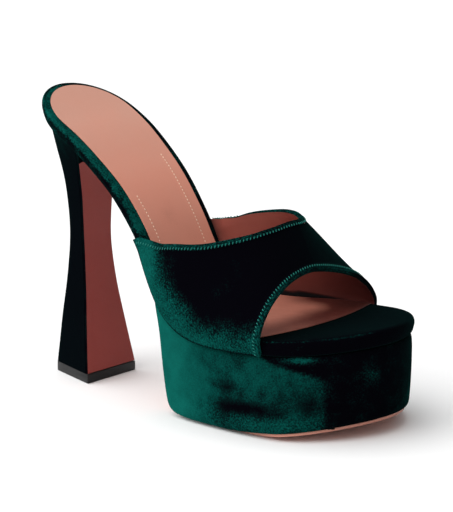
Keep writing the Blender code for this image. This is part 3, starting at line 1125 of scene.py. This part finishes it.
        # painted shade, deeper at the toe and the inner side
        tone = self.lining_tone + self.lining_toe.at(y) + self.lining_inner.at(x)
        top = self.gap_height + self.gap_rise.at(y)
        top += self.gap_slope * np.maximum(y - self.gap_slope_from, 0.0)
        above, below = self.gap_soft
        # painted shadow in the gap between the lining and the sock
        gap_shadow = self.gap_side.at(x) * self.gap_front.at(y) * ramp(z, top + above, top + below)
        return tone + self.gap_shadow_tone * gap_shadow

    def lined(self, polygon: bpy.types.MeshPolygon, toe_gap: float) -> bool:
        """Tell whether a face shows the lining: it looks inwards, and no velvet is turned over it.

        Args:
            polygon: The face.
            toe_gap: Its distance from the edge of the toe opening.

        Returns:
            True for the lining.
        """
        x, _, z = polygon.center / MM
        slope = polygon.normal.y
        away = Vector((x - self.core_x, 0.0, z - self.core_z)).normalized()
        far = slope > self.rear_slope and x > self.far_x and z > self.far_z
        rear = slope > self.rear_slope and abs(x) > self.rear_x and not far
        front = slope < self.toe_slope and toe_gap < self.toe_fold
        fold = self.far_fold if far else self.wall_fold
        return polygon.normal.dot(away) < fold and not rear and not front

    def build(self) -> list[bpy.types.Object]:
        """Make the vamp, its lining and its stitched hems.

        Returns:
            The pieces of the vamp.
        """
        piece = copy_of_node(self.node, self.name)
        self.pad.fill(piece, self.waist_tuck)
        collar, toe, self.lower = self.edges(piece)
        self.smooth(piece)
        skin = Skin(piece)
        store(piece, "nap_and_light", self.nap_and_light(piece, (collar, toe)))
        store(piece, "flecks", 1.0)
        store(piece, "tone", self.tone(piece))
        centres = np.array([tuple(polygon.center) for polygon in piece.data.polygons]) / MM
        toe_gaps = distances(centres, toe)
        dress(piece, VELVET, LINING, lambda polygon: self.lined(polygon, toe_gaps[polygon.index]))
        made = [self.hand_over(piece)]
        for name, rim, way in (("collar_stitches", collar, 1.0), ("toe_stitches", toe, -1.0)):
            line = self.hem_line(skin, rim, way * self.stitch_inset)
            made.append(self.sewn(self.hem_stitch.row(name, line), TEAL_THREAD))
        return made


@dataclass
class Footbed(Piece):
    """Velvet covered footbed whose rounded rim shows all round the sock."""

    node: str = "footbed"
    name: str = "footbed_velvet"
    slot: Slot = Slot.VELVET
    firm_angle: float = 75.0
    fullness: float = 0.8
    toe: Fade = Fade(-40.0, -62.0)
    rim: Fade = Fade(0.99, 0.9)
    flat_nap: float = 0.06
    flat_toe_dim: float = 0.05
    rim_nap: float = 0.08
    rim_upper: Fade = Fade(0.05, 0.7, 0.36)
    rim_toe_dim: float = 0.9
    patches: tuple[Patches, Patches] = (Patches(9.0, 1.3, 0.2), Patches(3.5, 6.2, 0.14))
    patch_toe_dim: float = 0.5
    inner_dim: Fade = Fade(-16.0, 2.0, 0.4)
    inner_upper: Fade = Fade(-0.2, 0.3)
    toe_gleam: float = 0.15
    toe_edge: tuple[Fade, Fade] = (Fade(0.5, 0.7), Fade(0.98, 0.85))

    def nap_and_light(self, piece: bpy.types.Object) -> np.ndarray:
        """Pile of the footbed, crushed along the rim, with painted highlight on the rim's upper
        rounding and the toe's edge, and painted shade at the toe and the inner side.

        Args:
            piece: The refined footbed.

        Returns:
            Pile and painted light at each mesh point.
        """
        places = coordinates(piece)
        up = point_normals(piece)[:, Z]
        rim, toe = self.rim.at(np.abs(up)), self.toe.at(places[:, Y])
        crushed = sum(patch.at(places) for patch in self.patches)
        # painted shade on the toe's flat top
        nap_and_light = self.flat_nap - self.flat_toe_dim * toe
        # painted highlight on the rim's upper rounding, less at the toe
        nap_and_light += rim * (1.0 - self.rim_toe_dim * toe) * (self.rim_nap + self.rim_upper.at(up))
        nap_and_light += rim * (1.0 - self.patch_toe_dim * toe) * crushed
        # painted shade on the inner rim
        nap_and_light -= rim * self.inner_dim.at(places[:, X]) * self.inner_upper.at(up)
        # painted highlight along the toe's edge
        return nap_and_light + self.toe_gleam * toe * self.toe_edge[0].at(up) * self.toe_edge[1].at(up)

    def build(self) -> list[bpy.types.Object]:
        """Make the footbed.

        Returns:
            The footbed.
        """
        piece = self.shape()
        store(piece, "nap_and_light", self.nap_and_light(piece))
        store(piece, "flecks", 1.0)
        dress(piece, VELVET)
        return [self.hand_over(piece)]


@dataclass
class Platform(Piece):
    """Velvet covered platform with painted highlight on the outer side and painted shade across the
    toe.
    """

    node: str = "platform"
    name: str = "platform_velvet"
    slot: Slot = Slot.VELVET
    firm_angle: float = 55.0
    pad: WaistPad = WaistPad()
    seam: Line = field(default_factory=list)
    middle_y: float = -50.0
    turn_front: float = 10.0
    turn_low: Fade = Fade(41.0, 29.0, 39.0)
    turn_soft: float = 4.0
    turn_back: Fade = Fade(-150.0, -110.0)
    inner_turns: tuple[Fade, Fade] = (Fade(120.0, 150.0), Fade(-110.0, -150.0))
    dark_nap: float = 0.07
    outer_gleam: float = 0.34
    outer_back: Fade = Fade(-40.0, 2.0, 0.42)
    inner_gleam: float = 0.2
    patches: Patches = Patches(15.0, 5.1, 0.15)
    crush: Patches = Patches(6.0, 8.4, 0.08)
    seam_shade: Fade = Fade(1.9, 0.6, 0.5)
    fleck: float = 0.75
    fleck_outer_dim: Fade = Fade(8.0, 16.0, 0.4)
    strokes: tuple[Brush, ...] = (
        Brush((-45.0, -50.0, 13.5), (20.0, 20.0, 4.6), -0.42),
        Brush((-44.0, -36.0, 22.5), (20.0, 13.0, 3.0), -0.25),
        Brush((-34.0, -80.0, 18.0), (9.0, 7.0, 6.0), -0.3),
        Brush((-37.0, -76.0, 39.6), (10.0, 9.0, 2.0), 0.5),
        Brush((-12.0, -96.0, 31.0), (7.0, 8.0, 5.0), 0.18),
        Brush((26.0, -88.0, 14.0), (18.0, 16.0, 9.0), 0.40),
        Brush((45.0, -50.0, 16.0), (16.0, 26.0, 10.0), 0.28),
        Brush((44.0, -28.0, 34.0), (14.0, 16.0, 6.0), -0.2),
    )

    def build(self) -> list[bpy.types.Object]:
        """Make the platform.

        Its painted light turns with the angle round the middle, 0 on the outer side and 90 at the
        toe:
        painted highlight on the outer and inner sides, painted shade across the toe and a painted
        shadow along the seam under the vamp.

        Returns:
            The platform.
        """
        piece = self.shape()
        self.pad.fill(piece)
        places = coordinates(piece)
        x, y, z = places.T
        turn = np.degrees(np.arctan2(self.middle_y - y, -x))
        change = self.turn_front + self.turn_low.at(z)
        # painted highlight on the outer side, painted shade across the toe
        bright = ramp(turn, change + self.turn_soft, change - self.turn_soft)
        bright *= self.turn_back.at(turn)
        inner = sum(side.at(turn) for side in self.inner_turns)
        nap_and_light = self.dark_nap + (self.outer_gleam + self.outer_back.at(y)) * bright
        # painted highlight on the inner side
        nap_and_light += self.inner_gleam * inner
        nap_and_light += self.patches.at(places) * (bright + inner) + self.crush.at(places)
        # painted shadow along the seam under the vamp
        nap_and_light -= self.seam_shade.at(distances(places, self.seam))
        store(piece, "nap_and_light", nap_and_light + brushed(places, self.strokes))
        store(piece, "flecks", self.fleck - bright * self.fleck_outer_dim.at(z))
        dress(piece, VELVET)
        return [self.hand_over(piece)]


@dataclass
class Heel(Piece):
    """Velvet covered flared heel."""

    node: str = "heel_block"
    name: str = "heel_velvet"
    slot: Slot = Slot.VELVET
    firm_angle: float = 40.0
    top_gleam: Fade = Fade(100.0, 128.0, 0.16)
    patches: Patches = Patches(16.0, 2.2, 0.08)

    def build(self) -> list[bpy.types.Object]:
        """Make the heel block.

        Returns:
            The heel block.
        """
        piece = self.shape()
        places = coordinates(piece)
        store(piece, "nap_and_light", self.top_gleam.at(places[:, Z]) + self.patches.at(places))
        dress(piece, VELVET)
        return [self.hand_over(piece)]


@dataclass
class Breast(Piece):
    """Leather panel on the heel's front, with velvet over its sides and its top end."""

    node: str = "heel_breast"
    name: str = "breast_leather_panel"
    slot: Slot = Slot.BREAST
    firm_angle: float = 40.0
    facing_back: Fade = Fade(0.0, 0.6)
    back_closing: Triple = (0.0, 0.22, 0.0)
    top_band: float = 1.5
    top_closing: Triple = (0.0, 0.0, 0.5)
    low_tone: float = 0.35
    top_shade: Fade = Fade(60.0, 118.0, 0.3)
    cover_nap: float = 0.12
    cover_slope: float = 0.6
    cover_height: float = 109.5

    def covered(self, polygon: bpy.types.MeshPolygon) -> bool:
        """Tell whether velvet covers a face."""
        return abs(polygon.normal.x) > self.cover_slope or polygon.center.z > self.cover_height * MM

    def build(self) -> list[bpy.types.Object]:
        """Make the panel and close its seams with the heel and the waist.

        Returns:
            The panel.
        """
        piece = self.shape()
        shift(piece, self.facing_back.at(point_normals(piece)[:, Y]), self.back_closing)
        z = coordinates(piece)[:, Z]
        shift(piece, ramp(z, z.max() - self.top_band, z.max()), self.top_closing)
        # painted shade, deeper towards the top under the footbed
        store(piece, "tone", self.low_tone + self.top_shade.at(z))
        store(piece, "nap_and_light", self.cover_nap)
        dress(piece, BREAST, VELVET, self.covered)
        return [self.hand_over(piece)]


@dataclass
class Toplift(Piece):
    """Rubber toplift under the heel."""

    node: str = "toplift"
    name: str = "toplift_rubber_block"
    slot: Slot = Slot.TOPLIFT
    levels: int = 1
    firm_angle: float = 30.0
    facing_up: Fade = Fade(0.1, 0.5)
    top_closing: Triple = (0.0, 0.0, 0.25)

    def build(self) -> list[bpy.types.Object]:
        """Make the toplift and close its seam with the heel.

        Returns:
            The toplift.
        """
        piece = self.shape()
        shift(piece, self.facing_up.at(point_normals(piece)[:, Z]), self.top_closing)
        dress(piece, RUBBER)
        return [self.hand_over(piece)]


@dataclass
class Sole(Piece):
    """Leather outsole from the toe, up behind the platform and along the waist."""

    node: str = "outsole"
    name: str = "outsole_leather"
    slot: Slot = Slot.SOLE
    end_band: float = 1.2
    end_closing: Triple = (0.0, 0.55, 0.35)
    facing_platform: Fade = Fade(0.4, 0.8)
    platform_closing: Triple = (0.0, -0.22, 0.0)
    low_tone: float = 0.3
    waist_tone: Fade = Fade(30.0, 70.0, 0.5)
    edge_nap: float = 0.1
    edge_slope: float = 0.6
    waist_height: float = 6.0

    def covered(self, polygon: bpy.types.MeshPolygon) -> bool:
        """Tell whether velvet covers a face: the side edges above the tread."""
        return polygon.center.z > self.waist_height * MM and abs(polygon.normal.x) > self.edge_slope

    def build(self) -> list[bpy.types.Object]:
        """Make the outsole and close its seams with the heel and the platform.

        Returns:
            The outsole.
        """
        piece = self.shape()
        _, y, z = coordinates(piece).T
        shift(piece, ramp(y, y.max() - self.end_band, y.max()), self.end_closing)
        towards = self.facing_platform.at(-point_normals(piece)[:, Y])
        shift(piece, towards * (y > 0.0), self.platform_closing)
        store(piece, "tone", self.low_tone + self.waist_tone.at(z))
        store(piece, "nap_and_light", self.edge_nap)
        dress(piece, SOLE, VELVET, self.covered)
        return [self.hand_over(piece)]


@dataclass
class Sock(Piece):
    """Leather insole sock with a row of stitches along each side."""

    node: str = "insole_sock"
    name: str = "sock_leather_sheet"
    slot: Slot = Slot.SOCK
    firmness: float = 0.7
    pressed: Triple = (0.0, 0.18, -0.3)
    # Painted shade, warmer down the waist and deeper under the vamp:
    heel_tone: float = 0.06
    waist_tone: Fade = Fade(84.0, 20.0, 0.42)
    ball_tone: Fade = Fade(0.0, -25.0, 0.14)
    toe_tone: Fade = Fade(-36.0, -54.0, 0.38)
    toe_outer: float = 0.55
    toe_inner: Fade = Fade(-26.0, -6.0, 0.45)
    inner_tone: Fade = Fade(18.0, 36.0, 0.45)
    inner_front: Fade = Fade(-12.0, -30.0)
    stitch: Stitch = Stitch(length=1.2, width=0.68, rise=0.34, pitch=1.85)
    seam_insets: tuple[float, float] = (5.4, 6.8)
    seam_steps: int = 60
    seam_from: float = -8.0
    seam_tops: tuple[float, float] = (32.0, 47.0)
    middle_x: float = -5.0
    ray_height: float = 400.0
    ray_reach: float = 90.0

    def seams(self, skin: Skin) -> tuple[Line, Line]:
        """Lines of the stitches along the outer and the inner side.

        Args:
            skin: The sock's surface.

        Returns:
            Points in millimetres and normals of each row.
        """
        down = Vector((0.0, 0.0, -1.0))
        rows: tuple[Line, Line] = ([], [])
        for row, side, inset, end in zip(rows, (-1.0, 1.0), self.seam_insets, self.seam_tops):
            for y in np.linspace(self.seam_from, end, self.seam_steps):
                top = Vector((self.middle_x, float(y), self.ray_height))
                edge = skin.edge(top, top + Vector((self.ray_reach * side, 0.0, 0.0)), down)
                hit = skin.cast(edge - Vector((inset * side, 0.0, 0.0)), down)
                if hit is not None:
                    row.append(hit)
        return rows

    def tone(self, piece: bpy.types.Object) -> np.ndarray:
        """Tone of the leather, painted shade: light at the heel, warm at the waist, deeper under the
        vamp.

        Args:
            piece: The refined sock.

        Returns:
            Tone at each mesh point.
        """
        x, y, _ = coordinates(piece).T
        tone = self.heel_tone + self.waist_tone.at(y) + self.ball_tone.at(y)
        tone += self.toe_tone.at(y) * (self.toe_outer + self.toe_inner.at(x))
        return tone + self.inner_tone.at(x) * self.inner_front.at(y)

    def build(self) -> list[bpy.types.Object]:
        """Make the sock, pressed down on top as a glued sheet lies, and its rows of stitches.

        Returns:
            The sock and the stitches.
        """
        piece = copy_of_node(self.node, self.name)
        shift(piece, point_normals(piece)[:, Z] > 0.0, self.pressed)
        self.smooth(piece)
        store(piece, "tone", self.tone(piece))
        dress(piece, SOCK)
        made = [self.hand_over(piece)]
        names = ("sock_stitches_outer", "sock_stitches_inner")
        for name, line in zip(names, self.seams(Skin(piece))):
            made.append(self.sewn(self.stitch.row(name, line), CREAM_THREAD))
        return made


@dataclass
class Studio:
    """Pale floor, soft light and the camera at the photograph's angle.

    Places and sizes are metres, but for the lens and its sensor.
    """

    camera_place: Triple = (-1.0813, -0.8966, 0.3940)
    camera_aim: Triple = (0.0002, -0.0014, 0.0708)
    camera_near: float = 0.01
    lens: float = 212.0
    sensor: float = 36.0
    floor_size: float = 14.0
    floor_colour: Triple = (0.93, 0.93, 0.93)
    floor_roughness: float = 0.8
    floor_specular: float = 0.1
    bright_sky: float = 0.95
    dim_sky: float = 0.18
    sky_from: Triple = (-0.62, 0.48, 0.62)
    sky_fade: tuple[float, float] = (-0.35, 0.85)
    sun_from: Triple = (-0.4, 0.4, 1.0)
    sun_strength: float = 1.9
    sun_spread: float = 90.0
    key_place: Triple = (-1.3, 0.55, 0.75)
    key_aim: Triple = (0.0, 0.0, 0.05)
    key_size: float = 1.1
    key_power: float = 5.0

    def stand(self, data: bpy.types.ID, place: Triple, aim: Triple) -> bpy.types.Object:
        """Put a camera or a light in the scene under its own name.

        Args:
            data: The camera or the light.
            place: Where it stands.
            aim: Where it looks.

        Returns:
            The new object.
        """
        thing = bpy.data.objects.new(data.name, data)
        thing.location = place
        sight = Vector(aim) - Vector(place)
        thing.rotation_euler = sight.to_track_quat("-Z", "Y").to_euler()
        bpy.context.scene.collection.objects.link(thing)
        return thing

    def camera(self) -> None:
        """Stand the camera where the photograph was taken and aim it at the middle of the shoe."""
        data = bpy.data.cameras.new("camera")
        data.lens = self.lens
        data.sensor_width = self.sensor
        data.clip_start = self.camera_near
        bpy.context.scene.camera = self.stand(data, self.camera_place, self.camera_aim)

    def floor(self) -> None:
        """Lay a plain pale floor."""
        bpy.ops.object.select_all(action="DESELECT")
        bpy.ops.mesh.primitive_plane_add(size=self.floor_size, location=(0.0, 0.0, 0.0))
        floor = bpy.context.active_object
        floor.name = "floor"
        graph = Graph("floor_paper")
        graph.set(Base_Color=self.floor_colour, Roughness=self.floor_roughness)
        graph.set(Specular_IOR_Level=self.floor_specular)
        dress(floor, graph.material)

    def softbox(self) -> None:
        """Hang one square soft light on the shoe's outer side."""
        data = bpy.data.lights.new("side_softbox", "AREA")
        data.size = self.key_size
        data.energy = self.key_power
        self.stand(data, self.key_place, self.key_aim)

    def sun(self) -> None:
        """Hang the wide overhead light that makes the floor white."""
        data = bpy.data.lights.new("overhead", "SUN")
        data.energy = self.sun_strength
        data.angle = math.radians(self.sun_spread)
        light = bpy.data.objects.new("overhead", data)
        light.rotation_euler = Vector(self.sun_from).to_track_quat("Z", "Y").to_euler()
        bpy.context.scene.collection.objects.link(light)

    def surroundings(self) -> None:
        """Light the room softly, brightest above and behind the shoe's outer side."""
        world = bpy.data.worlds.new("studio")
        bpy.context.scene.world = world
        world.use_nodes = True
        tree = world.node_tree
        place = tree.nodes.new("ShaderNodeTexCoord")
        towards = tree.nodes.new("ShaderNodeVectorMath")
        towards.operation = "DOT_PRODUCT"
        towards.inputs[1].default_value = Vector(self.sky_from).normalized()
        fade = tree.nodes.new("ShaderNodeMapRange")
        limits = (*self.sky_fade, self.dim_sky, self.bright_sky)
        for name, limit in zip(("From Min", "From Max", "To Min", "To Max"), limits):
            fade.inputs[name].default_value = limit
        background = tree.nodes["Background"]
        background.inputs["Color"].default_value = (1.0, 1.0, 1.0, 1.0)
        tree.links.new(place.outputs["Generated"], towards.inputs[0])
        tree.links.new(towards.outputs["Value"], fade.inputs["Value"])
        tree.links.new(fade.outputs["Result"], background.inputs["Strength"])

    def build(self) -> None:
        """Set up the floor, the lights, the surroundings and the camera."""
        self.floor()
        self.sun()
        self.softbox()
        self.surroundings()
        bpy.context.scene.view_settings.view_transform = "Standard"
        self.camera()


def main() -> None:
    """Build the studio and each sub-assembly of the shoe, and report every piece."""
    logging.basicConfig(level=logging.INFO, format="%(message)s")
    Studio().build()
    vamp = Vamp()
    pieces = vamp.build()
    platform = Platform(seam=vamp.lower)
    for assembly in (Footbed(), platform, Heel(), Breast(), Toplift(), Sole(), Sock()):
        pieces += assembly.build()
    for piece in pieces:
        LOG.info("%s: %d faces", piece.name, len(piece.data.polygons))


if __name__ == "__main__":
    main()
